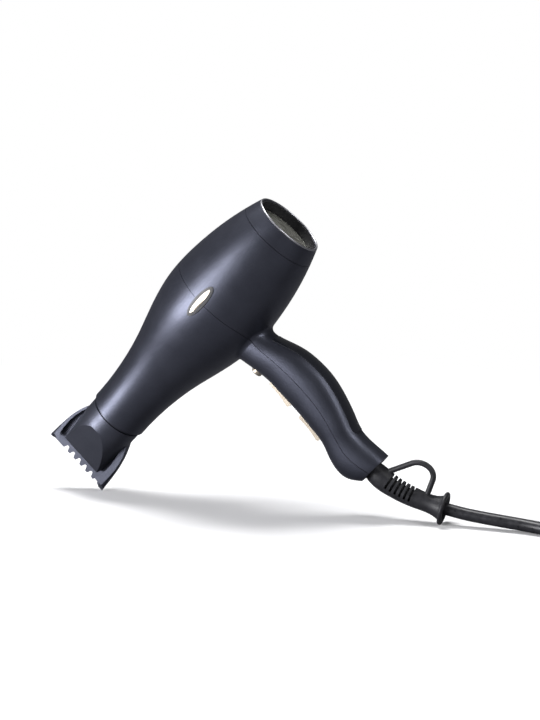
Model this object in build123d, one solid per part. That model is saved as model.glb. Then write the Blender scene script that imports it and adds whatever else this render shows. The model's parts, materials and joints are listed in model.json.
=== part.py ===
from build123d import *
import os
from math import copysign, cos, pi, radians, sin, tan

# A hair dryer standing on its nozzle wing and its cord guard, with its mains cord coiled beside it.
#
# Dryer frame, in which the pieces are drawn: X runs along the barrel from the outlet ring to the
# air intake, Z points away from the handle, and Y is across the dryer.
# Part frame, in which they are written: +Z up, +X from the nozzle towards the cord, and the origin
# under the middle of the dryer, on the surface that it stands on. All lengths are in millimetres.

# ---- Pose of the dryer on the surface ----
BARREL_TILT = 46.8

# ---- Barrel: distance from the outlet ring, and outer radius there ----
BARREL_LENGTH = 196.0
BARREL_PROFILE = [(0, 22.4), (28, 23.6), (56, 28.1), (84, 35.4)]
BARREL_PROFILE += [(112, 40.2), (140, 39.1), (168, 34.3), (196, 25.8)]
WALL = 2.2
MOUTH_RADIUS = 21.6
MOUTH_DEPTH = 16.0
MID_SEAM = 122.9
CAP_SEAM = 184.0
SEAM_GAP = 0.3
NECK_RADIUS = 4.0

# ---- Handle: height, centre along X, half depth along X and half width across, at each section ----
HANDLE_SECTIONS = [
    (-20.0, 118.0, 19.0, 15.0),
    (-34.0, 117.5, 17.5, 15.0),
    (-45.0, 116.9, 14.6, 15.0),
    (-55.0, 119.4, 15.1, 15.0),
    (-68.0, 122.4, 16.7, 15.0),
    (-82.0, 123.2, 17.8, 15.0),
    (-96.0, 122.9, 17.7, 14.8),
    (-110.0, 120.8, 16.7, 14.5),
    (-124.0, 117.6, 15.1, 14.0),
    (-135.0, 113.6, 15.1, 13.5),
    (-143.0, 112.2, 15.7, 13.5),
    (-150.0, 112.4, 15.9, 13.4),
    (-156.0, 113.9, 15.0, 13.1),
    (-162.2, 116.8, 12.6, 12.3),
]
HANDLE_SQUARENESS = 2.3
HANDLE_END = -162.2
END_PLATE_TOP = -159.8
END_PLATE_INSET = 0.35
FRONT_WALL = 2.4
BACK_WALL = 4.4
# the seam on the handle, as height and position along X
SEAM_LINE = [
    (-26.0, 122.9),
    (-42.0, 120.4),
    (-53.0, 121.3),
    (-65.0, 122.6),
    (-77.0, 123.3),
    (-87.0, 123.2),
    (-98.0, 122.6),
    (-108.0, 121.2),
    (-118.0, 118.8),
    (-128.0, 115.7),
    (-137.0, 113.2),
    (-146.0, 112.4),
    (-156.0, 113.8),
    (-164.0, 115.6),
]
SPINE_TOP = -48.0
SPINE_FOOT = -136.0
SPINE_HALF_WIDTH = 8.5
SPINE_DEPTH = 1.6
FIT_GAP = 0.15

# ---- Badges on both sides of the barrel ----
BADGE_X = 123.4
BADGE_Z = 1.5
BADGE_HALF_LENGTH = 13.6
BADGE_HALF_HEIGHT = 4.3
BADGE_BORDER = 2.2
BADGE_DOME_RADIUS = 6.0
BADGE_DOME_TOP = 41.3

# ---- Outlet and nozzle ----
SLEEVE_RADIUS = 19.3
COLLAR_BORE = 19.35
COLLAR_RADIUS = 20.9
COLLAR_DEPTH = 12.0
NOZZLE_RADIUS = 21.0
NOZZLE_ROOT = -14.0
LIP_X = -46.5
LIP_RADIUS = 18.3
FACET_ROOT = (-13.4, -21.0)
FACET_LIP = (-46.5, -4.0)
NOZZLE_WALL = 1.7
COMB_X = -56.4
# distance along X, half width along Z, centre across, half thickness, squareness
SCOOP_SECTIONS = [
    (-13.0, 20.8, 0.0, 20.8, 2.0),
    (-20.0, 23.9, 0.4, 18.0, 2.1),
    (-30.0, 26.7, 0.8, 13.4, 2.3),
    (-43.0, 28.5, 0.8, 8.8, 2.5),
    (-56.4, 29.6, 0.2, 6.0, 2.6),
]
TOOTH_PITCH = 6.7
TOOTH_GAP_MOUTH = 2.7
TOOTH_GAP_RADIUS = 1.2
TOOTH_GAP_DEPTH = 2.6
PLATE_Y = 2.6
PLATE_RAMP_END = -44.0
DISH_SHIFT = 2.8
NOTCH_COUNT = 7

# ---- Filter cap at the intake ----
CAP_SPIGOT_RADIUS = 27.0
CAP_SPIGOT_BORE = 27.05
CAP_SPIGOT_LENGTH = 7.5
MESH_X = 188.4
MESH_RADIUS = 23.2
RIM_SEAT = 195.3

# ---- Air path ----
MICA_RADIUS = 18.0
MICA_END_RADIUS = 26.0
COIL_RADIUS = 13.0
COIL_WIRE = 1.3
COIL_COUNT = 9
DUCT_RADIUS = 32.0
MOTOR_RADIUS = 13.5
SHAFT_RADIUS = 1.5
FAN_RADIUS = 31.0
FAN_BLADES = 8
RUNNING_CLEARANCE = 0.05
LEAD_RADIUS = 0.8

# ---- Controls on the front of the handle: height and face position ----
COOL_SHOT_Z = -54.3
COOL_SHOT_FACE = 101.4
COOL_SHOT_RADIUS = 4.05
ROCKER_REST_ANGLE = 6.0
ROCKER_HALF_WIDTH = 4.4
ROCKER_HALF_LENGTH = 11.0
ROCKER_FACE_OFFSET = 9.1
HEAT_ROCKER = (112.4, -78.7)
SPEED_ROCKER = (110.9, -110.6)
ROCKER_PIN_RADIUS = 1.3
SCREW_HEIGHTS = [-65.2, -94.7, -129.0]

# ---- Cord guard, hang loop and cord ----
GUARD_LINE = [(115.0, -155.5), (115.0, -164.0), (116.4, -176.0)]
GUARD_LINE += [(119.9, -188.0), (124.6, -199.0), (133.6, -215.6)]
GUARD_RADII = [(0.0, 7.85), (0.16, 7.85), (0.34, 7.8), (0.55, 7.2)]
GUARD_RADII += [(0.74, 6.6), (0.86, 6.9), (0.94, 8.4), (1.0, 10.1)]
BELL_RIM = (10.28, 1.4)
GUARD_SLOTS = [-175.4, -178.9, -182.3, -185.7, -189.1, -192.4]
SLOT_WIDTH = 1.7
LOOP_LINE = [(118.0, -168.3), (145.2, -179.9), (146.6, -193.2), (126.0, -202.3)]
LOOP_RADII = [12.0, 8.0]
LOOP_THICKNESS = 4.0
CORD_DIAMETER = 8.6
GUARD_BORE_DEPTH = 6.0
CORD_ENTRY_X = 112.5
CLAMP_SCREW_Y = 6.2

# ---- Cord in the part frame: the lead lies on the surface, then the cord is wound in a neat coil ----
LEAD_ROUTE = [
    (147.8, 0.0, 12.5),
    (161.5, 0.0, 9.5),
    (180.0, 0.2, 7.3),
    (214.0, 0.6, 4.4),
    (234.0, -7.7, 4.35),
    (248.6, -22.7, 4.35),
    (268.0, -30.9, 4.35),
    (288.0, -30.9, 4.35),
]
COIL_CENTRE = (280.0, 28.0)
COIL_MEAN_RADIUS = 46.0
COIL_COLUMNS = 4
COIL_LAYERS = 2
COIL_TURNS = 7.5
# the tail rises from the outer turn of the top layer and lies across the coil to the plug,
# with its points counted from the coil's centre and turned about it to where the last turn ends
TAIL_ROUTE = [
    (-13.0, -58.9, 12.9),
    (10.5, -58.9, 14.4),
    (31.2, -48.8, 19.3),
    (45.3, -30.7, 23.6),
    (50.1, -8.2, 25.3),
    (44.8, 13.1, 25.3),
]
TAIL_TURN = 180.0
PLUG_HEADING = 104.0
PLUG_THICKNESS = 16.0
PLUG_WIDTH = 35.0
PLUG_BODY_LENGTH = 32.0
PLUG_GUARD_LENGTH = 16.0
PLUG_BORE_DEPTH = 12.0
PLUG_GROOVES = 4
PIN_RADIUS = 2.4
PIN_LENGTH = 19.0
PIN_ROOT_RADIUS = 1.6
PIN_SHOULDER = 0.5
PIN_SPACING = 19.0


BASE = (Align.CENTER, Align.CENTER, Align.MIN)


def rod(x0, x1, radius, y=0.0, z=0.0):
    """A round bar along X."""
    return Pos(x0, y, z) * Rot(0, 90, 0) * Cylinder(radius, x1 - x0, align=BASE)


def tube(x0, x1, outer, inner, y=0.0, z=0.0):
    """A round tube along X."""
    return rod(x0, x1, outer, y, z) - rod(x0 - 1, x1 + 1, inner, y, z)


def cross_rod(x, z, radius, y0, y1):
    """A round bar along Y."""
    return Pos(x, y0, z) * Rot(-90, 0, 0) * Cylinder(radius, y1 - y0, align=BASE)


def block(x0, x1, y0, y1, z0, z1):
    """A box between two corners."""
    centre = Pos((x0 + x1) / 2, (y0 + y1) / 2, (z0 + z1) / 2)
    return centre * Box(x1 - x0, y1 - y0, z1 - z0)


def turned(profile):
    """A solid turned about the X axis from a closed outline of (x, radius) corners."""
    outline = Polyline(*[(x, 0, r) for x, r in profile], close=True)
    return revolve(make_face(outline), Axis.X, 360)


def oval_points(squareness, count=20):
    """Points round a unit oval, between a circle at 2 and a rounded square above it."""
    points = []
    for i in range(count):
        angle = 2 * pi * (i + 0.5) / count
        u = copysign(abs(cos(angle)) ** (2 / squareness), cos(angle))
        v = copysign(abs(sin(angle)) ** (2 / squareness), sin(angle))
        points.append((u, v))
    return points


def prism(outline, half_width):
    """A plate across Y with an outline of (x, z) corners."""
    face = make_face(Polyline(*[(x, -half_width, z) for x, z in outline], close=True))
    return extrude(face, 2 * half_width, dir=(0, 1, 0))


# ---------------------------------------------------------------- housings


def barrel(inset=0.0):
    """The solid barrel, its surface moved in by the inset."""
    crown = Spline(*[(x, 0, r - inset) for x, r in BARREL_PROFILE])
    foot = [(BARREL_LENGTH, 0, 0), (0, 0, 0)]
    base = Polyline(crown @ 1, *foot, crown @ 0)
    return revolve(make_face([crown, base]), Axis.X, 360)


def handle(front=0.0, back=0.0, side=0.0):
    """The solid handle, its front, back and sides moved in by the given amounts."""
    sections = []
    for height, centre, depth, width in HANDLE_SECTIONS:
        middle = centre + (front - back) / 2
        reach = depth - (front + back) / 2
        breadth = width - side
        outline = [(middle + reach * u, breadth * v, height) for u, v in oval_points(HANDLE_SQUARENESS)]
        sections.append(make_face(Spline(*outline, periodic=True)))
    return loft(sections)


def dryer_body():
    """Barrel and handle as one solid, with a fillet round the neck."""
    joined = barrel() + handle()
    neck = [edge for edge in joined.edges() if -45 < edge.center().Z < -30 and edge.length < 130]
    return fillet(neck, NECK_RADIUS)


def seam_x(z):
    """Where the seam between the two housings lies at a height on the handle."""
    return between(SEAM_LINE, z)


def beside_seam(offset, far_x):
    """The space between a copy of the seam, moved along X by the offset, and an upright plane."""
    curve = Spline(*[(x + offset, -60, z) for z, x in SEAM_LINE], tangents=[(0, 0, -1), (0.2, 0, -1)])
    top = MID_SEAM + offset
    rest = Polyline(curve @ 1, (far_x, -60, SEAM_LINE[-1][0]), (far_x, -60, 70), (top, -60, 70), curve @ 0)
    return extrude(make_face([curve, rest]), 120, dir=(0, 1, 0))


def front_region():
    """The space in front of the seam."""
    return beside_seam(-SEAM_GAP / 2, -80)


def rear_region():
    """The space behind the seam, as far as the filter cap."""
    return beside_seam(SEAM_GAP / 2, CAP_SEAM - SEAM_GAP / 2)


def badge_column(half_length, half_height):
    """An upright oval column through the barrel where the badges sit."""
    outline = Pos(BADGE_X, -60, BADGE_Z) * Rot(-90, 0, 0) * Ellipse(half_length, half_height)
    return extrude(outline, 120, dir=(0, 1, 0))


def front_edge(z):
    """Front surface of the handle on its mid-plane, between two listed sections."""
    rows = [(h, c - d) for h, c, d, w in HANDLE_SECTIONS]
    return between(rows, z)


def back_edge(z):
    """Back surface of the handle on its mid-plane, between two listed sections."""
    rows = [(h, c + d) for h, c, d, w in HANDLE_SECTIONS]
    return between(rows, z)


def between(rows, z):
    """Straight-line reading of a falling table of (height, value)."""
    for (z0, v0), (z1, v1) in zip(rows, rows[1:]):
        if z0 >= z >= z1:
            return v0 + (v1 - v0) * (z - z0) / (z1 - z0)
    raise ValueError("height is off the handle")


def rocker_window(pivot):
    """The opening in the front wall for a rocker."""
    x, z = pivot
    half_length = ROCKER_HALF_LENGTH + 1.3
    half_width = ROCKER_HALF_WIDTH + 0.35
    opening = block(x - 16, x - 1, -half_width, half_width, z - half_length, z + half_length)
    return fillet(opening.edges().filter_by(Axis.X), 1.5)


def cool_shot_window():
    """The round opening in the front wall for the cool shot button."""
    radius = COOL_SHOT_RADIUS + 0.35
    return rod(COOL_SHOT_FACE - 4, front_edge(COOL_SHOT_Z) + 4, radius, 0, COOL_SHOT_Z)


def screw_bosses(front):
    """Bosses for the handle screws: blind in the front housing, clear in the rear one."""
    bosses = []
    for z in SCREW_HEIGHTS:
        seam = seam_x(z)
        if front:
            foot = front_edge(z) + 1.2
            bosses.append(tube(foot, seam - 0.3, 3.2, 1.45, 0, z) + rod(foot, seam - 12, 3.2, 0, z))
        else:
            bosses.append(rod(seam + 0.3, back_edge(z) - 2.5, 3.8, 0, z))
    return bosses


def housings(body):
    """Front and rear housings, made from the hollow body and the seam."""
    hollow = barrel(WALL) + handle(FRONT_WALL, BACK_WALL, FRONT_WALL)
    hollow += rod(-1, MOUTH_DEPTH, MOUTH_RADIUS)
    hollow += rod(BARREL_LENGTH - 2, BARREL_LENGTH + 1, BARREL_PROFILE[-1][1] - WALL)
    shell = body - hollow
    shell -= badge_column(BADGE_HALF_LENGTH + 0.1, BADGE_HALF_HEIGHT + 0.1) - barrel(1.2)

    front = shell & front_region()
    lip = turned([(116, 36.7), (116, 38.2), (122.6, 38.2), (122.6, 37.8), (126.5, 37.8), (126.5, 36.7)])
    lip &= barrel(WALL - 0.05) + rod(MID_SEAM - 0.5, 127, 37.75)
    front += lip - handle(FRONT_WALL, BACK_WALL, FRONT_WALL)
    for boss in screw_bosses(True):
        front += boss
    for pivot in (HEAT_ROCKER, SPEED_ROCKER):
        front -= rocker_window(pivot)
    front -= cool_shot_window()

    rear = shell & rear_region()
    seat_start = CAP_SEAM - CAP_SPIGOT_LENGTH - 2
    seat_end = CAP_SEAM - 0.4
    seat = tube(seat_start, seat_end, 40, CAP_SPIGOT_BORE)
    rear += seat & barrel(0.6)
    for boss in screw_bosses(False):
        rear += boss
    half_width = SPINE_HALF_WIDTH + 0.1
    channel = block(seam_x(-90) + 4, 160, -half_width, half_width, SPINE_FOOT - 2.2, SPINE_TOP + 0.1)
    rear -= channel - handle(0, SPINE_DEPTH + 0.1)
    for z in SCREW_HEIGHTS:
        rear -= rod(seam_x(z) - 1, back_edge(z) + 2, 1.7, 0, z)
        rear -= rod(back_edge(z) - 6, back_edge(z) + 2, 3.0, 0, z)
    return front, rear


def spine_inlay():
    """The glossy strip along the back of the handle, which covers the screws."""
    strip = block(seam_x(-90) + 4, 160, -SPINE_HALF_WIDTH, SPINE_HALF_WIDTH, SPINE_FOOT, SPINE_TOP)
    return (handle(0, -0.35) & strip) - handle(0, SPINE_DEPTH)


def handle_end_cap():
    """The end plate, set inside the housings' walls, with a hole for the cord guard."""
    height, centre, depth, width = HANDLE_SECTIONS[-1]
    middle = centre + (FRONT_WALL - BACK_WALL) / 2
    reach = depth - (FRONT_WALL + BACK_WALL) / 2 - FIT_GAP
    half_width = width - FRONT_WALL - FIT_GAP
    bottom = HANDLE_END + END_PLATE_INSET
    outline = [(middle + reach * u, half_width * v, bottom) for u, v in oval_points(HANDLE_SQUARENESS)]
    plate = extrude(make_face(Spline(*outline, periodic=True)), END_PLATE_TOP - bottom, dir=(0, 0, 1))
    hole = Pos(GUARD_LINE[0][0], 0, HANDLE_END - 1) * Cylinder(7.95, 10, align=BASE)
    return plate - hole


def badges():
    """Dark oval bezels and the polished inserts in them, one of each on either side."""
    outer = barrel(-0.5) - barrel(1.1)
    bezel = badge_column(BADGE_HALF_LENGTH, BADGE_HALF_HEIGHT) & outer
    opening = badge_column(BADGE_HALF_LENGTH - BADGE_BORDER - 0.4, BADGE_HALF_HEIGHT - BADGE_BORDER)
    insert = badge_column(BADGE_HALF_LENGTH - BADGE_BORDER - 0.5, BADGE_HALF_HEIGHT - BADGE_BORDER - 0.1)
    insert &= barrel(-0.8) - barrel(1.0)
    domes = []
    for side in (-1, 1):
        centre = side * (BADGE_DOME_TOP - BADGE_DOME_RADIUS)
        domes.append(insert & rod(BADGE_X - 20, BADGE_X + 20, BADGE_DOME_RADIUS, centre, BADGE_Z))
    return bezel - opening, domes


# ---------------------------------------------------------------- nozzle


def scoop(inset):
    """The wide flattened end of the nozzle, from the round root to the comb."""
    sections = []
    for x, width, centre, thickness, squareness in SCOOP_SECTIONS:
        ring = oval_points(squareness, 24)
        outline = [(x, centre + (thickness - inset) * u, (width - inset) * v) for u, v in ring]
        sections.append(make_face(Spline(*outline, periodic=True)))
    return loft(sections)


def facet_cut(offset):
    """The space on the near side of the nozzle's inclined flat face."""
    (x0, y0), (x1, y1) = FACET_ROOT, FACET_LIP
    slope = (y1 - y0) / (x1 - x0)
    y_root = y0 + offset + slope * (10.0 - x0)
    y_end = y0 + offset + slope * (COMB_X - 5 - x0)
    corners = [(10.0, y_root, -50), (COMB_X - 5, y_end, -50), (COMB_X - 5, -60, -50), (10.0, -60, -50)]
    return extrude(make_face(Polyline(*corners, close=True)), 100, dir=(0, 0, 1))


def across(corners):
    """The space over an outline of (x, y) corners, for the whole height of the nozzle."""
    face = make_face(Polyline(*[(x, y, -50) for x, y in corners], close=True))
    return extrude(face, 100, dir=(0, 0, 1))


def open_side():
    """The space on the near side of the scoop's rim, which falls back to the plate at the comb."""
    past = COMB_X - 5
    rim = [(NOZZLE_ROOT, -2.0), (-51.5, -3.2), (-54.4, 0.4), (past, PLATE_Y)]
    return across(rim + [(past, -60), (NOZZLE_ROOT, -60)])


def near_plate():
    """The space on the near side of the comb's flat plate."""
    return across([(10, PLATE_Y), (COMB_X - 5, PLATE_Y), (COMB_X - 5, -60), (10, -60)])


def near_ramp():
    """The space on the near side of the ramp that leads the air to the slot."""
    past = COMB_X - 5
    bore = NOZZLE_RADIUS - NOZZLE_WALL
    line = [(10, bore), (NOZZLE_ROOT, bore), (PLATE_RAMP_END, PLATE_Y), (past, PLATE_Y)]
    return across(line + [(past, -60), (10, -60)])


def comb_notch(z):
    """One gap of the comb, a rounded V."""
    bottom = COMB_X + TOOTH_GAP_DEPTH
    mouth = COMB_X - 1
    outline = [(mouth, z - TOOTH_GAP_MOUTH), (bottom, z - TOOTH_GAP_RADIUS)]
    outline += [(bottom, z + TOOTH_GAP_RADIUS), (mouth, z + TOOTH_GAP_MOUTH)]
    return prism(outline, 20) + cross_rod(bottom, z, TOOTH_GAP_RADIUS, -20, 20)


def nozzle_shell():
    """The concentrator: push-on collar, duct with a flat face, and the plate with its rim and comb."""
    full = scoop(0)
    inner = scoop(NOZZLE_WALL)
    dish = inner & (Pos(0, 0, DISH_SHIFT) * inner) & near_plate()
    wings = full - dish - open_side()
    duct = turned([(NOZZLE_ROOT + 1, 0), (NOZZLE_ROOT + 1, NOZZLE_RADIUS), (LIP_X, LIP_RADIUS), (LIP_X, 0)])
    duct = (duct & full) - facet_cut(0) + (duct & open_side() - facet_cut(0))
    passage = turned([(NOZZLE_ROOT + 2, 0), (NOZZLE_ROOT + 2, NOZZLE_RADIUS - NOZZLE_WALL),
                      (LIP_X - 1, LIP_RADIUS - NOZZLE_WALL), (LIP_X - 1, 0)])
    passage = (passage & (inner + open_side()) & near_ramp()) - facet_cut(NOZZLE_WALL)
    collar = tube(NOZZLE_ROOT, -1.0, NOZZLE_RADIUS, COLLAR_BORE)
    collar += tube(-1.5, COLLAR_DEPTH, COLLAR_RADIUS, COLLAR_BORE)
    collar -= rod(4.0, 8.0, 20.1) + tube(-2.6, 0.4, 24.0, 20.0)
    shell = wings + duct - passage + collar
    for i in range(NOTCH_COUNT):
        shell -= comb_notch(TOOTH_PITCH * (i - (NOTCH_COUNT - 1) / 2))
    return shell


def nozzle_grip_ring():
    """The split spring ring in the collar, which grips the outlet sleeve."""
    band = tube(4.05, 7.95, 20.04, SLEEVE_RADIUS + 0.06)
    return band - block(3, 9, -3, 3, 10, 25)


# ---------------------------------------------------------------- filter cap


def filter_cap(body):
    """The rear ring, with a spigot into the rear housing and a recessed intake."""
    ring = body & block(CAP_SEAM + SEAM_GAP / 2, 200, -60, 60, -60, 60)
    recess = turned([(MESH_X - 4.0, 0), (MESH_X - 4.0, MESH_RADIUS - 1.4), (MESH_X - 0.3, MESH_RADIUS - 1.4),
                     (MESH_X - 0.3, MESH_RADIUS), (BARREL_LENGTH + 1, 24.3), (BARREL_LENGTH + 1, 0)])
    inside = barrel(WALL) & block(100, MESH_X - 4.0, -60, 60, -60, 60)
    ring = ring - recess - inside
    spigot = tube(CAP_SEAM - CAP_SPIGOT_LENGTH, CAP_SEAM + 1.5, CAP_SPIGOT_RADIUS, CAP_SPIGOT_RADIUS - 1.6)
    web = tube(CAP_SEAM + 0.2, CAP_SEAM + 1.6, 28.6, CAP_SPIGOT_RADIUS - 1.6)
    rim_seat = rod(RIM_SEAT, BARREL_LENGTH + 1, 27)
    return ring + spigot + web - rim_seat


def filter_rim():
    """The thin polished trim ring on the very end of the cap."""
    back = RIM_SEAT + 0.05
    end = BARREL_LENGTH + 0.3
    outer = [(back, 24.5), (back, 26.0), (BARREL_LENGTH, 25.8), (end, 25.5)]
    return turned(outer + [(end, 24.8), (BARREL_LENGTH, 24.5)])


def filter_frame():
    """The black lining of the recess, between the mesh and the trim ring."""
    foot = MESH_X + 0.8
    return turned([(foot, 23.25), (RIM_SEAT, 23.95), (RIM_SEAT, 23.2), (foot, 22.4)])


def filter_mesh():
    """The woven wire filter, as a thin disc."""
    return rod(MESH_X, MESH_X + 0.7, MESH_RADIUS - 0.1)


def ribbed_disc(x0, x1, outer, rings, spokes, rib):
    """A guard of round ribs and spokes inside a ring."""
    guard = tube(x0, x1, outer, outer - rib)
    for radius in rings:
        guard += tube(x0, x1, radius + rib / 2, radius - rib / 2)
    for i in range(spokes):
        spoke = block(x0, x1, -rib / 2, rib / 2, rings[0], outer - rib / 2)
        guard += Rot(360 / spokes * i, 0, 0) * spoke
    return guard


def filter_grid():
    """The plastic grid that backs the mesh."""
    return ribbed_disc(MESH_X - 2.4, MESH_X - 0.1, MESH_RADIUS - 1.6, [5.0, 10.0, 15.5], 6, 1.2)


def intake_guard():
    """The fixed finger guard behind the filter cap."""
    return ribbed_disc(156.0, 158.2, 33.2, [7.0, 14.0, 21.0, 27.0], 8, 1.6)


# ---------------------------------------------------------------- heater, motor and fan


def outlet_sleeve():
    """The heat-proof sleeve that carries the nozzle, with a flange inside the barrel's mouth."""
    return tube(-1.0, 20.0, SLEEVE_RADIUS, 18.1) + tube(16.6, 19.6, 20.2, 18.1)


def outlet_grille():
    """The guard in the outlet."""
    return ribbed_disc(1.0, 3.4, 18.0, [5.0, 9.5, 14.0], 6, 1.1)


def mica_tube():
    """The insulating tube round the heater, flared towards the fan."""
    outer = [(8, MICA_RADIUS), (66, MICA_RADIUS), (84, MICA_END_RADIUS)]
    inner = [(84, MICA_END_RADIUS - 0.6), (66, MICA_RADIUS - 0.6), (8, MICA_RADIUS - 0.6)]
    return turned(outer + inner)


def heating_coils(wire=COIL_WIRE):
    """The resistance windings, as rings of the coiled wire's outer size."""
    rings = []
    for i in range(COIL_COUNT):
        ring = Pos(20.0 + 5.4 * i, 0, 0) * Rot(0, 90, 0) * Torus(COIL_RADIUS, wire)
        rings.append(ring)
    return rings


def mica_boards():
    """Two crossed boards that carry the windings, each slotted half way to take the other."""
    upright = block(12, 84, -0.4, 0.4, -16.8, 16.8) - block(11, 48, -2, 2, -0.45, 0.45)
    level = block(12, 84, -16.8, 16.8, -0.4, 0.4) - block(48, 85, -0.45, 0.45, -2, 2)
    for ring in heating_coils(COIL_WIRE + 0.15):
        upright -= ring
        level -= ring
    return upright, level


def thermostat():
    """The disc thermostat on a bracket beside the windings."""
    disc = rod(75.0, 79.5, 5.0, 8.5, 8.5)
    return disc + block(76.5, 77.5, 6.5, 10.5, 0.45, 5.0)


def thermal_fuse():
    """The one-shot fuse, with its two leads."""
    return rod(71.0, 80.0, 2.0, -7.0, 7.0) + rod(66.5, 83.5, 0.5, -7.0, 7.0)


def motor_duct():
    """The guide ring: a cup for the motor, seven vanes and a ring round the fan."""
    duct = tube(98.0, 134.0, DUCT_RADIUS + 1.8, DUCT_RADIUS)
    duct += tube(92.0, 114.0, MOTOR_RADIUS + 1.8, MOTOR_RADIUS + 0.1)
    vanes = 7
    for i in range(vanes):
        middle = Pos(103, 0, (MOTOR_RADIUS + DUCT_RADIUS) / 2 + 1)
        vane = middle * Rot(0, 0, 14) * Box(20, 1.2, DUCT_RADIUS - MOTOR_RADIUS)
        duct += Rot(360 / vanes * i, 0, 0) * vane
    return duct


def rubber_rings():
    """The two soft rings round the guide ring, each with a gap for the leads."""
    rings = []
    for x in (103.0, 129.0):
        ring = tube(x - 2.0, x + 2.0, 36.3, DUCT_RADIUS + 1.9)
        rings.append(ring - block(x - 3, x + 3, -9, 9, -40, -20))
    return rings


def motor_can():
    """The steel motor can, open at the fan end."""
    can = rod(90.0, 113.0, MOTOR_RADIUS) - rod(91.0, 114.0, MOTOR_RADIUS - 1.0)
    return can - rod(89.0, 92.0, 4.2)


def motor_end_plate():
    """The plate that closes the can at the fan end."""
    return tube(111.0, 113.0, MOTOR_RADIUS - 1.1, 4.2)


def motor_bushes():
    """The two plain bearings of the shaft."""
    bushes = []
    for x0, x1 in ((89.5, 93.5), (110.5, 114.5)):
        bushes.append(tube(x0, x1, 4.15, SHAFT_RADIUS + RUNNING_CLEARANCE))
    return bushes


def motor_magnets():
    """Two curved magnets inside the can."""
    ring = tube(94.5, 109.5, MOTOR_RADIUS - 1.1, 9.7)
    gap = block(90, 112, -20, 20, -2.5, 2.5)
    return (ring - gap).solids()


def armature():
    """The wound rotor on the shaft."""
    core = rod(96.0, 108.0, 9.2)
    slots = 5
    for i in range(slots):
        core -= Rot(360 / slots * i, 0, 0) * (block(95, 109, -0.9, 0.9, 5.5, 10) + rod(95, 109, 1.9, 0, 5.5))
    return core - rod(95, 109, SHAFT_RADIUS)


def motor_shaft():
    """The steel shaft from the rear bush to the fan."""
    return rod(88.5, 132.5, SHAFT_RADIUS)


def fan_impeller():
    """The axial fan: a domed hub and eight pitched blades."""
    hub = rod(118.0, 131.0, 8.5)
    hub = fillet(hub.edges().group_by(Axis.X)[-1], 3.0)
    for i in range(FAN_BLADES):
        blade = Pos(124.5, 0, 19.0) * Rot(0, 0, 38) * Box(13.5, 1.3, 30)
        hub += Rot(360 / FAN_BLADES * i, 0, 0) * (blade & tube(115, 134, FAN_RADIUS, 6.0))
    hub &= rod(117.0, 133.0, FAN_RADIUS)
    return hub - rod(117, 133, SHAFT_RADIUS)


def ion_module():
    """The ion generator beside the mica tube."""
    return block(52.5, 65.0, -4.8, 4.8, 18.8, 23.4)


def ion_emitter():
    """The needle that carries the charge to the outlet."""
    return rod(24.0, 52.4, 0.5, 0, 19.4)


# ---------------------------------------------------------------- controls


def cool_shot_button():
    """A round push button with a collar behind the wall and a stem to its switch."""
    inner = front_edge(COOL_SHOT_Z) + FRONT_WALL + 0.3
    cap = rod(COOL_SHOT_FACE, inner + 1.0, COOL_SHOT_RADIUS, 0, COOL_SHOT_Z)
    cap = fillet(cap.edges().group_by(Axis.X)[0], 0.9)
    flange = rod(inner + 0.8, inner + 2.0, 5.0, 0, COOL_SHOT_Z)
    stem = rod(inner + 1.9, inner + 4.0, 1.8, 0, COOL_SHOT_Z)
    return cap + flange + stem


def cool_shot_switch():
    """The small switch behind the cool shot button."""
    x0 = front_edge(COOL_SHOT_Z) + FRONT_WALL + 7.0
    body = block(x0, x0 + 9.5, -5.0, 5.0, COOL_SHOT_Z - 3.4, COOL_SHOT_Z + 5.0)
    return body + rod(x0 - 0.7, x0 + 1, 1.1, 0, COOL_SHOT_Z)


def rocker(pivot):
    """A rocker with a dished face, stub pins and its lower end standing out."""
    x, z = pivot
    face = ROCKER_FACE_OFFSET
    half = ROCKER_HALF_LENGTH
    outline = [(x - face, z + half), (x - face, z - half), (x - 3, z - half + 0.4), (x + 3, z - 5.5),
               (x + 3, z + 5.5), (x - 3, z + half - 0.4)]
    body = prism(outline, ROCKER_HALF_WIDTH)
    body = fillet(body.edges().filter_by(Axis.Y).group_by(Axis.X)[0], 1.5)
    dish_radius = 60.0
    body -= cross_rod(x - face - dish_radius + 0.6, z, dish_radius, -20, 20)
    body += cross_rod(x, z, ROCKER_PIN_RADIUS, -ROCKER_HALF_WIDTH - 1.9, ROCKER_HALF_WIDTH + 1.9)
    turn = Pos(x, 0, z) * Rot(0, ROCKER_REST_ANGLE, 0) * Pos(-x, 0, -z)
    return turn * body


def rocker_switch(pivot):
    """The switch behind a rocker, with two ears for the rocker's pins and four terminals."""
    x, z = pivot
    body = block(x + 4.6, x + 14.0, -6.5, 6.5, z - 8.5, z + 8.5)
    for side in (-1, 1):
        y0, y1 = sorted((side * (ROCKER_HALF_WIDTH + 0.3), side * 6.5))
        ear = cross_rod(x, z, 2.5, y0, y1) + block(x, x + 5, y0, y1, z - 2.5, z + 2.5)
        body += ear - cross_rod(x, z, ROCKER_PIN_RADIUS + RUNNING_CLEARANCE, -20, 20)
    return body


def circuit_board():
    """The control board in the back of the handle, pierced for the screw bosses."""
    board = block(128.0, 129.5, -8.0, 8.0, -111.0, -70.0)
    for z in SCREW_HEIGHTS:
        board -= rod(120, 135, 4.2, 0, z)
    return board


def board_parts():
    """The relay, capacitor and diodes on the board."""
    parts = [block(129.55, 133.0, -6.0, 6.0, -86.0, -74.0)]
    parts.append(rod(129.55, 132.2, 3.0, 0, -103.0))
    for y in (-5.5, 5.5):
        parts.append(rod(129.55, 131.4, 1.4, y, -108.0))
    return parts


def wire(points, radius, bend):
    """A lead along straight runs and tangent arcs in the handle."""
    path = FilletPolyline(*points, radius=bend)
    start = Plane(origin=path @ 0, z_dir=path % 0)
    return sweep(start * Circle(radius), path=path)


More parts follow.
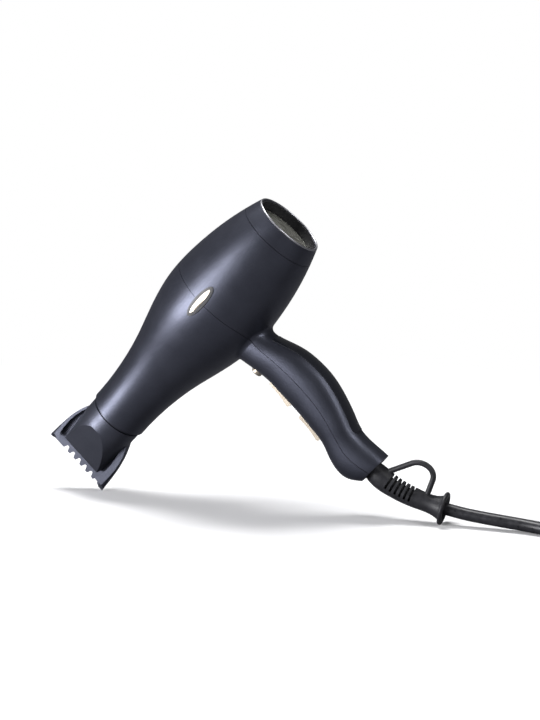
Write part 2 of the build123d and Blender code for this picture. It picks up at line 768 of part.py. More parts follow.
def internal_leads():
    """Two leads from the cord to the switches and two from the board up to the motor."""
    leads = []
    for side in (-1, 1):
        lower = [(113.5, 2.5 * side, -137.7), (114.5, 5.5 * side, -130.0), (119.0, 5.5 * side, -120.6)]
        leads.append(wire(lower, LEAD_RADIUS, 3.0))
        upper = [(125.5, 7.0 * side, -69.9), (122.0, 8.0 * side, -56.0), (117.0, 7.0 * side, -41.0)]
        upper += [(105.0, 6.2 * side, -35.1), (95.5, 6.0 * side, -34.4)]
        upper += [(87.0, 5.4 * side, -28.0), (86.0, 5.0 * side, -14.0)]
        leads.append(wire(upper, LEAD_RADIUS, 2.5))
    return leads


def cord_clamp():
    """The clamp that holds the cord's end inside the handle."""
    clamp = block(106.0, 118.0, -8.0, 8.0, -149.5, -141.0)
    clamp -= Pos(CORD_ENTRY_X, 0, -151) * Cylinder(CORD_DIAMETER / 2 + 0.05, 12, align=BASE)
    for side in (-1, 1):
        clamp -= rod(105, 119, 1.1, CLAMP_SCREW_Y * side, -145.2)
    return clamp


def cord_inner():
    """The end of the cord inside the handle, from the guard to the leads."""
    return Pos(CORD_ENTRY_X, 0, GUARD_LINE[0][1]) * Cylinder(CORD_DIAMETER / 2, 17.1, align=BASE)


def clamp_screws():
    """Two screws across the clamp."""
    screws = []
    for side in (-1, 1):
        shank = rod(106.5, 118.3, 1.0, CLAMP_SCREW_Y * side, -145.2)
        screws.append(shank + rod(118.05, 119.4, 1.9, CLAMP_SCREW_Y * side, -145.2))
    return screws


def housing_screws():
    """The three long screws under the spine inlay."""
    screws = []
    for z in SCREW_HEIGHTS:
        head = back_edge(z) - 5.8
        screw = rod(head, head + 1.8, 2.7, 0, z) + rod(seam_x(z) - 10.5, head + 0.5, 1.4, 0, z)
        screw -= block(head + 0.9, head + 2, -0.35, 0.35, z - 1.8, z + 1.8)
        screw -= block(head + 0.9, head + 2, -1.8, 1.8, z - 0.35, z + 0.35)
        screws.append(screw)
    return screws


# ---------------------------------------------------------------- cord guard, loop, cord and plug


def guard_path():
    """Centreline of the cord guard, from inside the handle to its bell."""
    points = [(x, 0, z) for x, z in GUARD_LINE]
    return Spline(*points, tangents=[(0, 0, -1), (0.511, 0, -0.859)])


def strain_relief():
    """The moulded cord guard, with a flange inside the handle, slots and a bell end."""
    path = guard_path()
    rounds = []
    for position, radius in GUARD_RADII:
        plane = Plane(origin=path @ position, z_dir=path % position)
        rounds.append(plane * Circle(radius))
    guard = loft(rounds)
    guard += Pos(GUARD_LINE[0][0], 0, -158.4) * Cylinder(9.2, 2.6, align=BASE)
    for height in GUARD_SLOTS:
        share = (GUARD_LINE[0][1] - height) / (GUARD_LINE[0][1] - GUARD_LINE[-1][1]) * 0.995
        heading = path % share
        place = Plane(origin=path @ share, z_dir=heading, x_dir=heading.cross(Vector(0, 1, 0)))
        slot = Pos(6.0, 0, 0) * Box(16.8, 24, SLOT_WIDTH) - Cylinder(CORD_DIAMETER / 2 + 0.5, SLOT_WIDTH + 1)
        guard -= place * slot
    end = Plane(origin=path @ 1, z_dir=path % 1)
    guard += end * Pos(0, 0, 0.05 - BELL_RIM[1]) * Torus(*BELL_RIM)
    bell = Cone(CORD_DIAMETER / 2 + 0.1, 8.9, 3.5, align=(Align.CENTER, Align.CENTER, Align.MAX))
    bore = Cylinder(CORD_DIAMETER / 2 + 0.1, GUARD_BORE_DEPTH, align=(Align.CENTER, Align.CENTER, Align.MAX))
    return guard - end * bell - end * bore


def hang_loop(guard):
    """The rubber loop beside the guard, moulded into it at both ends."""
    points = [(x, 0, z) for x, z in LOOP_LINE]
    path = FilletPolyline(*points, radius=LOOP_RADII)
    start = Plane(origin=path @ 0, z_dir=path % 0)
    loop = sweep(start * Circle(LOOP_THICKNESS / 2), path=path)
    return max((loop - guard).solids(), key=lambda piece: piece.volume)


def bend_radii(route):
    """The radius of the arc at each corner of a cord's route."""
    points = [Vector(*point) for point in route]
    radii = []
    for before, corner, after in zip(points, points[1:], points[2:]):
        shorter = min((corner - before).length, (after - corner).length)
        turn = radians((corner - before).get_angle(after - corner))
        radii.append(0.45 * shorter / tan(turn / 2))
    return radii


def cord_tube(route):
    """A round tube of straight runs joined by tangent arcs."""
    path = FilletPolyline(*route, radius=bend_radii(route))
    start = Plane(origin=path @ 0, z_dir=path % 0)
    section = start * Circle(CORD_DIAMETER / 2)
    cord = sweep(section, path=path)
    radii = [round(r, 1) for r in bend_radii(route)]
    print("cord run", round(path.length, 1), "radii", radii)
    print("volume against section times length", round(cord.volume / (section.area * path.length), 4))
    return cord


def on_coil(shape):
    """Moves a shape from the coil's centre to its place in the part frame."""
    return Pos(COIL_CENTRE[0], COIL_CENTRE[1], 0) * shape


def cord_coil():
    """The outer shape of the coil: four turns across and two layers high."""
    half_band = COIL_COLUMNS * CORD_DIAMETER / 2
    height = COIL_LAYERS * CORD_DIAMETER
    coil = Cylinder(COIL_MEAN_RADIUS + half_band, height, align=BASE)
    coil -= Cylinder(COIL_MEAN_RADIUS - half_band, height, align=BASE)
    print("coil run", round(COIL_TURNS * 2 * pi * COIL_MEAN_RADIUS, 1))
    return on_coil(fillet(coil.edges().filter_by(GeomType.CIRCLE), CORD_DIAMETER * 0.45))


def plug_place():
    """Where the plug's own axes lie: +X out of its nose, from the cord's end."""
    x, y, z = TAIL_ROUTE[-1]
    return on_coil(Rot(0, 0, TAIL_TURN) * Pos(x, y, z) * Rot(0, 0, PLUG_HEADING))


def plug_guard():
    """The plug's own cord guard, ringed with grooves."""
    x0 = -PLUG_BORE_DEPTH
    guard = turned([(x0, 0), (x0, 5.6), (x0 + PLUG_GUARD_LENGTH, 7.0), (x0 + PLUG_GUARD_LENGTH, 0)])
    for i in range(PLUG_GROOVES):
        groove = x0 + 2.4 + 3.3 * i
        guard -= tube(groove, groove + 1.3, 9.0, 5.2)
    return guard - rod(x0 - 1, 0, CORD_DIAMETER / 2 + 0.05)


def plug_body():
    """The moulded plug: narrow at the cord, wide at the nose, with waisted sides."""
    x0 = PLUG_GUARD_LENGTH - PLUG_BORE_DEPTH
    x1 = x0 + PLUG_BODY_LENGTH
    wide = PLUG_WIDTH / 2
    side = Spline((x0, 7.5, 0), (x0 + 9, 9.8, 0), (x0 + 19, 15.4, 0), (x1 - 8, wide, 0))
    nose = Polyline(side @ 1, (x1, wide - 1.5, 0), (x1, 0, 0), (x0, 0, 0), side @ 0)
    half = make_face([side, nose])
    slab = extrude(half, PLUG_THICKNESS / 2, dir=(0, 0, 1), both=True)
    body = slab + mirror(slab, Plane.XZ)
    body = fillet(body.edges().group_by(Axis.Z)[0] + body.edges().group_by(Axis.Z)[-1], 2.6)
    for y in (-PIN_SPACING / 2, PIN_SPACING / 2):
        body -= rod(x1 - 6, x1 + 1, PIN_ROOT_RADIUS + 0.05, y)
    return body


def plug_pins():
    """The two round pins, with rounded tips."""
    x1 = PLUG_GUARD_LENGTH - PLUG_BORE_DEPTH + PLUG_BODY_LENGTH
    pins = []
    for y in (-PIN_SPACING / 2, PIN_SPACING / 2):
        pin = rod(x1 + PIN_SHOULDER, x1 + PIN_LENGTH, PIN_RADIUS, y)
        pin = fillet(pin.edges().group_by(Axis.X)[-1], 1.2)
        pins.append(pin + rod(x1 - 6, x1 + PIN_SHOULDER + 1, PIN_ROOT_RADIUS, y))
    return pins


def cord_nodes():
    """The cord, its coil and its plug in the part frame, by node name."""
    place = plug_place()
    tail = on_coil(Rot(0, 0, TAIL_TURN) * cord_tube(TAIL_ROUTE))
    return {
        "power_cord": cord_tube(LEAD_ROUTE),
        "cord_coil": cord_coil(),
        "cord_tail": tail,
        "plug_guard": place * plug_guard(),
        "plug_body": place * plug_body(),
        "plug_pins": [place * pin for pin in plug_pins()],
    }


# ---------------------------------------------------------------- assembly


def dryer_nodes():
    """Every piece of the dryer in the dryer frame, by node name."""
    body = dryer_body()
    front, rear = housings(body)
    bezels, inserts = badges()
    upright, level = mica_boards()
    guard = strain_relief()
    return {
        "front_housing": front,
        "rear_housing": rear,
        "spine_inlay": spine_inlay(),
        "handle_end_cap": handle_end_cap(),
        "badge_bezels": bezels,
        "badge_inserts": inserts,
        "outlet_sleeve": outlet_sleeve(),
        "outlet_grille": outlet_grille(),
        "mica_tube": mica_tube(),
        "mica_board_upright": upright,
        "mica_board_level": level,
        "heating_coils": heating_coils(),
        "thermostat": thermostat(),
        "thermal_fuse": thermal_fuse(),
        "ion_module": ion_module(),
        "ion_emitter": ion_emitter(),
        "motor_duct": motor_duct(),
        "motor_rubber_rings": rubber_rings(),
        "motor_can": motor_can(),
        "motor_end_plate": motor_end_plate(),
        "motor_bushes": motor_bushes(),
        "motor_magnets": motor_magnets(),
        "motor_armature": armature(),
        "motor_shaft": motor_shaft(),
        "fan_impeller": fan_impeller(),
        "intake_guard": intake_guard(),
        "filter_cap": filter_cap(body),
        "filter_rim": filter_rim(),
        "filter_frame": filter_frame(),
        "filter_mesh": filter_mesh(),
        "filter_grid": filter_grid(),
        "nozzle_shell": nozzle_shell(),
        "nozzle_grip_ring": nozzle_grip_ring(),
        "cool_shot_button": cool_shot_button(),
        "cool_shot_switch": cool_shot_switch(),
        "heat_rocker": rocker(HEAT_ROCKER),
        "heat_switch": rocker_switch(HEAT_ROCKER),
        "speed_rocker": rocker(SPEED_ROCKER),
        "speed_switch": rocker_switch(SPEED_ROCKER),
        "circuit_board": circuit_board(),
        "board_parts": board_parts(),
        "internal_leads": internal_leads(),
        "cord_inner_end": cord_inner(),
        "cord_clamp": cord_clamp(),
        "clamp_screws": clamp_screws(),
        "housing_screws": housing_screws(),
        "strain_relief": guard,
        "hang_loop": hang_loop(guard),
    }


def as_solids(shape):
    """The separate solids of a node, whether it is one shape or a list."""
    if isinstance(shape, (list, tuple)) or type(shape) is ShapeList:
        return [solid for piece in shape for solid in piece.solids()]
    return list(shape.solids())


def write_nodes():
    """Stands the dryer up, sets the origin under its middle and writes every node."""
    os.makedirs("parts", exist_ok=True)
    tilt = Rot(0, -BARREL_TILT, 0)
    tilted = {name: [tilt * solid for solid in as_solids(shape)] for name, shape in dryer_nodes().items()}
    boxes = [solid.bounding_box() for solids in tilted.values() for solid in solids]
    middle = (min(b.min.X for b in boxes) + max(b.max.X for b in boxes)) / 2
    floor = min(b.min.Z for b in boxes)
    print("dryer frame origin in the part frame", round(-middle, 3), round(-floor, 3))
    for name in ("nozzle_shell", "strain_relief"):
        print("lowest point of", name, round(tilted[name][0].bounding_box().min.Z - floor, 3))
    nodes = {name: [Pos(-middle, 0, -floor) * solid for solid in solids] for name, solids in tilted.items()}
    nodes.update({name: as_solids(shape) for name, shape in cord_nodes().items()})
    for name, solids in nodes.items():
        volume = round(sum(solid.volume for solid in solids))
        print(name, len(solids), volume, all(solid.is_valid for solid in solids))
        export_step(Compound(solids), f"parts/{name}.step")


write_nodes()
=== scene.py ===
import json
from math import cos, pi, radians, sin

import bmesh
import bpy
from mathutils import Matrix, Vector


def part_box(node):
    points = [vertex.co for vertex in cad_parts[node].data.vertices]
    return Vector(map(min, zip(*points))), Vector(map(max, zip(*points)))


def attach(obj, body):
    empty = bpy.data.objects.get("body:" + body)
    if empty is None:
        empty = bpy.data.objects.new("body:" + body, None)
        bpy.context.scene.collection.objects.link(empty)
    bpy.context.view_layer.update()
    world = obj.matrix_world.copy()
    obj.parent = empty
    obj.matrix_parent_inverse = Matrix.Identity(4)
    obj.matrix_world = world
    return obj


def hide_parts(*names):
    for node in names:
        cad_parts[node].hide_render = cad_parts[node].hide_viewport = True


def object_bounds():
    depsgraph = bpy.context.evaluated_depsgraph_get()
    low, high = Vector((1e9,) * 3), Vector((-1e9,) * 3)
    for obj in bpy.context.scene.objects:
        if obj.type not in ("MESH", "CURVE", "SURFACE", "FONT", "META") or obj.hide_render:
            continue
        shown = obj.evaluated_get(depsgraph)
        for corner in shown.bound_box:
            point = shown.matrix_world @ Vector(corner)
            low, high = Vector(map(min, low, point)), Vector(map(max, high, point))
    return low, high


# A hair dryer standing on its nozzle wing and its cord guard. All lengths are in metres, in the
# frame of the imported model: +Z up, +X from the nozzle towards the cord.

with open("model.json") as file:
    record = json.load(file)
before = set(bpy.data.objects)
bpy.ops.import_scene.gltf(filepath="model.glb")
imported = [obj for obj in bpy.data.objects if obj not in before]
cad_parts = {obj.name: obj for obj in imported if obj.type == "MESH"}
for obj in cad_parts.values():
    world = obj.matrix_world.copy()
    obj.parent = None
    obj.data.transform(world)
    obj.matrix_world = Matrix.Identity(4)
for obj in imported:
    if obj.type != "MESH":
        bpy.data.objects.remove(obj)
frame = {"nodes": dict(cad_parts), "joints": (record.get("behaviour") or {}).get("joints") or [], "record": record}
cad_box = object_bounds()
NODES = frame["nodes"]

# ---- The barrel's own directions, from the record's joints ----
JOINTS = {joint["name"]: joint for joint in frame["joints"]}
BARREL_AXIS = Vector(JOINTS["nozzle_turn"]["axis"])
ACROSS = Vector((0, 1, 0))
BARREL_UP = BARREL_AXIS.cross(ACROSS)

# ---- Camera ----
CAMERA_AZIMUTH = radians(20.7)
CAMERA_ELEVATION = radians(8.7)
CAMERA_DISTANCE = 0.952
CAMERA_AIM = Vector((0.02427, 0.0, 0.10783))
CAMERA_LENS = 67.0

# ---- Cord: the lead's and the tail's points, given one by one, and the coil between them ----
CORD_DIAMETER = 0.0086
CORD_EXIT = (0.1478, 0.0, 0.0125)
LEAD_ROUTE = [
    CORD_EXIT,
    (0.1615, 0.0, 0.0095),
    (0.180, 0.0002, 0.0073),
    (0.214, 0.0006, 0.0044),
    (0.234, -0.0077, 0.00435),
    (0.2486, -0.0227, 0.00435),
    (0.268, -0.0309, 0.00435),
    (0.288, -0.0309, 0.00435),
]
COIL_CENTRE = Vector((0.280, 0.028, 0.0))
COIL_MEAN_RADIUS = 0.046
COIL_COLUMNS = 4
COIL_TURNS = 7.5
COIL_STEPS = 24
TAIL_ROUTE = [
    (-0.013, -0.0589, 0.0129),
    (0.0105, -0.0589, 0.0144),
    (0.0312, -0.0488, 0.0193),
    (0.0453, -0.0307, 0.0236),
    (0.0501, -0.0082, 0.0253),
    (0.0448, 0.0131, 0.0253),
]
TAIL_TURN = radians(180.0)
CORD_REST_HEIGHT = 0.505  # of the cord's middle over the surface, in diameters

# ---- Woven filter and heater windings ----
WEAVE_PITCH = 0.00105
WEAVE_WIRE = 0.00022
WEAVE_LIFT = 0.9 * WEAVE_WIRE
WEAVE_SIDES = 5
WINDING_WIRE = 0.00022
WINDING_SIDES = 4
WINDING_RINGS = 9
WINDING_SPACING = 0.0054
WINDING_RING_RADIUS = 0.013
WINDING_COIL_RADIUS = 0.00105
WINDING_LOOPS = 44
WINDING_STEPS = 8  # points in each loop

# ---- Floor and background ----
FLOOR_RADIUS = 12.0
FLOOR_GAP = 0.0002
FADE_START, FADE_END = 0.3, 0.75
FLOOR_LIFT = 0.08
AMBIENT_LIGHT = 0.08


# ---------------------------------------------------------------- materials


class Finish:
    """A procedural material: one shader, fed from the object's own coordinates."""

    def __init__(self, name, **sockets):
        self.material = bpy.data.materials.new(name)
        self.material.use_nodes = True
        self.tree = self.material.node_tree
        self.shader = self.tree.nodes["Principled BSDF"]
        self.place = self.node("ShaderNodeTexCoord").outputs["Object"]
        for socket, value in sockets.items():
            self.shader.inputs[socket.replace("_", " ")].default_value = value

    def node(self, kind, inputs=(), **settings):
        made = self.tree.nodes.new(kind)
        for setting, value in settings.items():
            setattr(made, setting, value)
        for socket, value in dict(inputs).items():
            if isinstance(value, bpy.types.NodeSocket):
                self.tree.links.new(value, made.inputs[socket])
            else:
                made.inputs[socket].default_value = value
        return made

    def along(self, direction, across=1.0, lengthwise=1.0):
        """Coordinates turned so that X runs along a direction, and stretched."""
        turn = Vector(direction).rotation_difference(Vector((1, 0, 0))).to_euler()
        turned = self.node("ShaderNodeMapping", {"Vector": self.place, "Rotation": turn})
        scale = (lengthwise, across, across)
        stretched = self.node("ShaderNodeMapping", {"Vector": turned.outputs[0], "Scale": scale})
        return stretched.outputs[0]

    def noise(self, scale, detail=3.0, roughness=0.5, place=None):
        inputs = {"Vector": place or self.place, "Scale": scale, "Detail": detail,
                  "Roughness": roughness}
        return self.node("ShaderNodeTexNoise", inputs).outputs["Fac"]

    def cells(self, scale, feature="F1"):
        inputs = {"Vector": self.place, "Scale": scale}
        return self.node("ShaderNodeTexVoronoi", inputs, feature=feature).outputs["Distance"]

    def spread(self, factor, low, high):
        """A factor between 0.3 and 0.7 spread between two numbers."""
        inputs = {"Value": factor, "From Min": 0.3, "From Max": 0.7, "To Min": low, "To Max": high}
        return self.node("ShaderNodeMapRange", inputs).outputs[0]

    def tint(self, factor, *stops):
        """A colour from (position, red, green, blue) stops."""
        ramp = self.node("ShaderNodeValToRGB", {"Fac": factor})
        points = ramp.color_ramp.elements
        while len(points) < len(stops):
            points.new(0.5)
        for point, (position, *colour) in zip(points, stops):
            point.position = position
            point.color = (*colour, 1.0)
        return ramp.outputs["Color"]

    def mix(self, factor, first, second):
        made = self.node("ShaderNodeMix", {0: factor}, data_type="RGBA")
        for socket, value in ((made.inputs["A"], first), (made.inputs["B"], second)):
            if isinstance(value, bpy.types.NodeSocket):
                self.tree.links.new(value, socket)
            else:
                socket.default_value = (*value, 1.0)
        return made.outputs["Result"]

    def feed(self, socket, value):
        self.tree.links.new(value, self.shader.inputs[socket])

    def relief(self, *layers):
        """Bump from (height, depth in metres) layers."""
        normal = None
        for height, depth in layers:
            inputs = {"Height": height, "Distance": depth, "Strength": 1.0}
            if normal is not None:
                inputs["Normal"] = normal
            normal = self.node("ShaderNodeBump", inputs).outputs["Normal"]
        self.feed("Normal", normal)


def satin_plastic(name, dark, light, roughness, grain_depth):
    """Moulded plastic with a pearly soft-touch paint: fine grain, faint clouding, uneven gloss."""
    finish = Finish(name, Metallic=0.8, Specular_IOR_Level=0.35, IOR=1.45)
    cloud = finish.noise(38.0, 4.0, 0.55)
    fleck = finish.noise(1900.0, 3.0, 0.7)
    body = finish.tint(cloud, (0.3, *dark), (0.7, *light))
    bright = tuple(1.45 * channel for channel in light)
    flecked = finish.mix(finish.spread(fleck, 0.0, 0.35), body, bright)
    finish.feed("Base Color", flecked)
    rub = finish.noise(90.0, 5.0, 0.6)
    finish.feed("Roughness", finish.spread(rub, roughness - 0.025, roughness + 0.03))
    grain = finish.cells(1500.0)
    finish.relief((grain, grain_depth), (finish.noise(420.0, 3.0), 0.000012))
    return finish.material


def soft_touch():
    dark, light = (0.050, 0.053, 0.070), (0.063, 0.067, 0.087)
    return satin_plastic("soft_touch_shell", dark, light, roughness=0.39, grain_depth=0.00002)


def nozzle_plastic():
    dark, light = (0.058, 0.062, 0.080), (0.073, 0.077, 0.098)
    return satin_plastic("nozzle_plastic", dark, light, roughness=0.42, grain_depth=0.00003)


def gloss_black():
    """Polished black plastic with hairline scratches."""
    finish = Finish("gloss_black", IOR=1.52, Coat_Weight=0.6, Coat_Roughness=0.04)
    hair = finish.noise(900.0, 6.0, 0.7, finish.along(BARREL_AXIS, 1.0, 0.05))
    black = finish.tint(hair, (0.3, 0.010, 0.011, 0.015), (0.7, 0.016, 0.017, 0.023))
    finish.feed("Base Color", black)
    finish.feed("Roughness", finish.spread(hair, 0.07, 0.15))
    finish.relief((finish.noise(140.0, 2.0), 0.00002))
    return finish.material


def champagne():
    """Satin metallised trim with fine brushing along its length."""
    finish = Finish("champagne", Metallic=0.85, Coat_Weight=0.2, Coat_Roughness=0.15)
    brush = finish.noise(2600.0, 5.0, 0.65, finish.along(BARREL_AXIS, 1.0, 0.04))
    finish.feed("Base Color", finish.tint(brush, (0.3, 0.40, 0.345, 0.27), (0.7, 0.56, 0.50, 0.41)))
    finish.feed("Roughness", finish.spread(brush, 0.34, 0.46))
    finish.relief((brush, 0.000006))
    return finish.material


def black_plastic():
    """Unpainted moulded plastic with a spark-eroded texture."""
    finish = Finish("black_plastic", IOR=1.49)
    grain = finish.cells(1900.0)
    cloud = finish.noise(120.0, 4.0)
    black = finish.tint(cloud, (0.3, 0.012, 0.012, 0.014), (0.7, 0.021, 0.021, 0.024))
    finish.feed("Base Color", black)
    finish.feed("Roughness", finish.spread(cloud, 0.36, 0.5))
    finish.relief((grain, 0.00004))
    return finish.material


def metal(name, dark, light, low, high, brushed_along):
    """Drawn or turned metal with streaks along one direction."""
    finish = Finish(name, Metallic=1.0)
    streak = finish.noise(1800.0, 6.0, 0.7, finish.along(brushed_along, 1.0, 0.06))
    stain = finish.noise(75.0, 4.0)
    drawn = finish.tint(streak, (0.3, *dark), (0.7, *light))
    finish.feed("Base Color", finish.mix(finish.spread(stain, 0.0, 0.5), drawn, light))
    finish.feed("Roughness", finish.spread(streak, low, high))
    finish.relief((streak, 0.000008))
    return finish.material


def rim_metal():
    return metal("rim_metal", (0.36, 0.36, 0.39), (0.48, 0.48, 0.51), 0.34, 0.44, BARREL_UP)


def mesh_steel():
    return metal("mesh_steel", (0.28, 0.28, 0.25), (0.46, 0.46, 0.42), 0.3, 0.5, BARREL_UP)


def sleeve_aluminium():
    return metal("sleeve_aluminium", (0.50, 0.50, 0.52), (0.66, 0.66, 0.68), 0.25, 0.4, BARREL_AXIS)


def pin_brass():
    return metal("pin_brass", (0.62, 0.55, 0.40), (0.80, 0.74, 0.60), 0.14, 0.3, (1, 0, 0))


def rotor():
    return metal("rotor", (0.10, 0.10, 0.10), (0.26, 0.26, 0.27), 0.35, 0.6, BARREL_UP)


def heater_wire():
    """Resistance wire with a heat tint that varies along the heater."""
    finish = Finish("heater_wire", Metallic=1.0)
    heat = finish.noise(160.0, 3.0)
    straw = (0.30, 0.24, 0.17)
    tinted = finish.tint(heat, (0.3, 0.17, 0.15, 0.17), (0.5, *straw), (0.7, 0.38, 0.36, 0.34))
    finish.feed("Base Color", tinted)
    finish.feed("Roughness", finish.spread(heat, 0.3, 0.5))
    finish.relief((finish.noise(3000.0), 0.00001))
    return finish.material


def mica():
    """Pressed mineral sheet: silvery flakes in a brown binder."""
    finish = Finish("mica", IOR=1.58, Coat_Weight=0.2, Coat_Roughness=0.3)
    flake = finish.cells(420.0)
    layer = finish.noise(60.0, 6.0, 0.65)
    binder = finish.tint(layer, (0.3, 0.34, 0.26, 0.16), (0.7, 0.52, 0.44, 0.31))
    flaked = finish.mix(finish.spread(flake, 0.45, 0.0), binder, (0.66, 0.60, 0.50))
    finish.feed("Base Color", flaked)
    finish.feed("Roughness", finish.spread(flake, 0.3, 0.6))
    finish.relief((flake, 0.00006))
    return finish.material


def rubber_black():
    """Moulded rubber, faintly dusty, with a pebbled skin."""
    finish = Finish("rubber_black", IOR=1.5, Specular_IOR_Level=0.3, Sheen_Weight=0.03)
    dust = finish.noise(230.0, 5.0, 0.6)
    dusted = finish.tint(dust, (0.3, 0.011, 0.011, 0.013), (0.7, 0.022, 0.022, 0.026))
    finish.feed("Base Color", dusted)
    finish.feed("Roughness", finish.spread(dust, 0.38, 0.52))
    finish.relief((finish.cells(1500.0), 0.00005))
    return finish.material


def cord_pvc():
    """Extruded sleeve: smooth, with slow waves from the extruder and slight scuffs."""
    finish = Finish("cord_pvc", IOR=1.52, Specular_IOR_Level=0.35)
    scuff = finish.noise(300.0, 5.0, 0.6)
    scuffed = finish.tint(scuff, (0.3, 0.012, 0.012, 0.014), (0.7, 0.026, 0.026, 0.030))
    finish.feed("Base Color", scuffed)
    finish.feed("Roughness", finish.spread(scuff, 0.26, 0.42))
    finish.relief((finish.noise(170.0, 2.0), 0.00012), (finish.noise(1600.0, 3.0), 0.00001))
    return finish.material


def board():
    """Green laminate with a darker weave under the solder mask."""
    finish = Finish("board", IOR=1.5, Coat_Weight=0.3, Coat_Roughness=0.15)
    weave = finish.cells(900.0, "SMOOTH_F1")
    cloud = finish.noise(150.0, 4.0)
    mask = finish.tint(cloud, (0.3, 0.015, 0.10, 0.035), (0.7, 0.03, 0.16, 0.06))
    finish.feed("Base Color", finish.mix(finish.spread(weave, 0.0, 0.4), mask, (0.01, 0.05, 0.02)))
    finish.feed("Roughness", finish.spread(cloud, 0.3, 0.45))
    finish.relief((weave, 0.00003))
    return finish.material


FINISHES = {
    "soft_touch_shell": soft_touch(),
    "nozzle_plastic": nozzle_plastic(),
    "gloss_black": gloss_black(),
    "champagne": champagne(),
    "black_plastic": black_plastic(),
    "rim_metal": rim_metal(),
    "mesh_steel": mesh_steel(),
    "sleeve_aluminium": sleeve_aluminium(),
    "mica": mica(),
    "heater_wire": heater_wire(),
    "rubber_black": rubber_black(),
    "cord_pvc": cord_pvc(),
    "pin_brass": pin_brass(),
    "rotor": rotor(),
    "board": board(),
}


def dress(piece, slot):
    """Gives a piece one slot's finish."""
    piece.data.materials.clear()
    piece.data.materials.append(FINISHES[slot])


# ---------------------------------------------------------------- cord


def eased(value):
    """A smooth step from 0 to 1."""
    value = min(1.0, max(0.0, value))
    return value * value * (3 - 2 * value)


def coil_points():
    """Control points of the coil's turns: inwards along the surface, then outwards on top.

    Three parts of each turn carry the changes: outwards on top first, then the climb from the
    surface, then inwards along the surface, so that no two of them cross.
    """
    outward, climb, inward = 0.55, 0.70, 0.85
    outer = COIL_MEAN_RADIUS + (COIL_COLUMNS - 1) / 2 * CORD_DIAMETER
    # the smooth line runs inside its control points, so they lie this much further out
    bulge = 8 / (6 + 2 * cos(2 * pi / COIL_STEPS))
    last = round(COIL_TURNS * COIL_STEPS - 1)
    points = []
    for step in range(1, last):
        turns = step / COIL_STEPS
        column = sum(eased((turns - k - inward) / (1 - inward)) for k in range(COIL_COLUMNS - 1))
        for k in range(COIL_COLUMNS, 2 * COIL_COLUMNS - 1):
            column -= eased((turns - k - outward) / (climb - outward))
        height = eased((turns - (COIL_COLUMNS - 1) - climb) / (inward - climb))
        radius = (outer - column * CORD_DIAMETER) * bulge
        angle = 2 * pi * turns - pi / 2
        level = (CORD_REST_HEIGHT + height) * CORD_DIAMETER
        points.append(COIL_CENTRE + Vector((radius * cos(angle), radius * sin(angle), level)))
    return points


def cord_points():
    """Lead, coil and tail as one list of control points."""
    turn = Matrix.Rotation(TAIL_TURN, 4, "Z")
    tail = [COIL_CENTRE + turn @ Vector(point) for point in TAIL_ROUTE]
    return [Vector(point) for point in LEAD_ROUTE] + coil_points() + tail


def smooth_curve(name, points, radius):
    """A round cord along a smooth line that starts and ends at its first and last points."""
    data = bpy.data.curves.new(name, "CURVE")
    data.dimensions = "3D"
    spline = data.splines.new("NURBS")
    spline.points.add(len(points) - 1)
    for point, place in zip(spline.points, points):
        point.co = (*place, 1.0)
    spline.order_u = 3
    spline.use_endpoint_u = True
    spline.resolution_u = 6
    data.bevel_depth = radius
    data.bevel_resolution = 7
    data.use_fill_caps = True
    made = bpy.data.objects.new(name, data)
    bpy.context.scene.collection.objects.link(made)
    return made


def curve_length(curve):
    """The length of a curve's own line."""
    bare = bpy.data.objects.new("bare_line", curve.data.copy())
    bare.data.bevel_depth = 0.0
    line = bpy.data.meshes.new_from_object(bare)
    ends = [[line.vertices[end].co for end in edge.vertices] for edge in line.edges]
    bpy.data.objects.remove(bare)
    return sum((b - a).length for a, b in ends)


def mains_cord():
    """The cord from the guard's bell to the plug, with its coil."""
    cord = smooth_curve("mains_cord", cord_points(), CORD_DIAMETER / 2)
    dress(cord, "cord_pvc")
    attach(cord, "dryer")
    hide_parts("power_cord", "cord_coil", "cord_tail")
    length = curve_length(cord)
    print("cord length", round(length, 4))


# ---------------------------------------------------------------- fine wire work


def mesh_object(name, vertices, faces):
    data = bpy.data.meshes.new(name)
    data.from_pydata(vertices, [], faces)
    data.polygons.foreach_set("use_smooth", [True] * len(data.polygons))
    made = bpy.data.objects.new(name, data)
    bpy.context.scene.collection.objects.link(made)
    return made


def add_wire(vertices, faces, points, radius, sides, closed=False):
    """Adds a round wire along points to a list of vertices and faces."""
    count = len(points)
    start = len(vertices)
    side = None
    for i, point in enumerate(points):
        before = points[(i - 1) % count] if closed or i else point
        after = points[(i + 1) % count] if closed or i < count - 1 else point
        heading = (after - before).normalized()
        reference = side if side is not None else heading.orthogonal()
        side = (reference - heading * reference.dot(heading)).normalized()
        other = heading.cross(side)
        for k in range(sides):
            angle = 2 * pi * k / sides
            vertices.append(point + radius * (cos(angle) * side + sin(angle) * other))
    spans = count if closed else count - 1
    for i in range(spans):
        here, there = start + i * sides, start + (i + 1) % count * sides
        for k in range(sides):
            n = (k + 1) % sides
            faces.append((here + k, here + n, there + n, there + k))
    if not closed:
        faces.append(tuple(start + k for k in reversed(range(sides))))
        faces.append(tuple(start + (count - 1) * sides + k for k in range(sides)))


def disc_of(node):
    """Centre and radius of a flat round node that lies square to the barrel's axis."""
    low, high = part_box(node)
    centre = (low + high) / 2
    return centre, (high.y - low.y) / 2


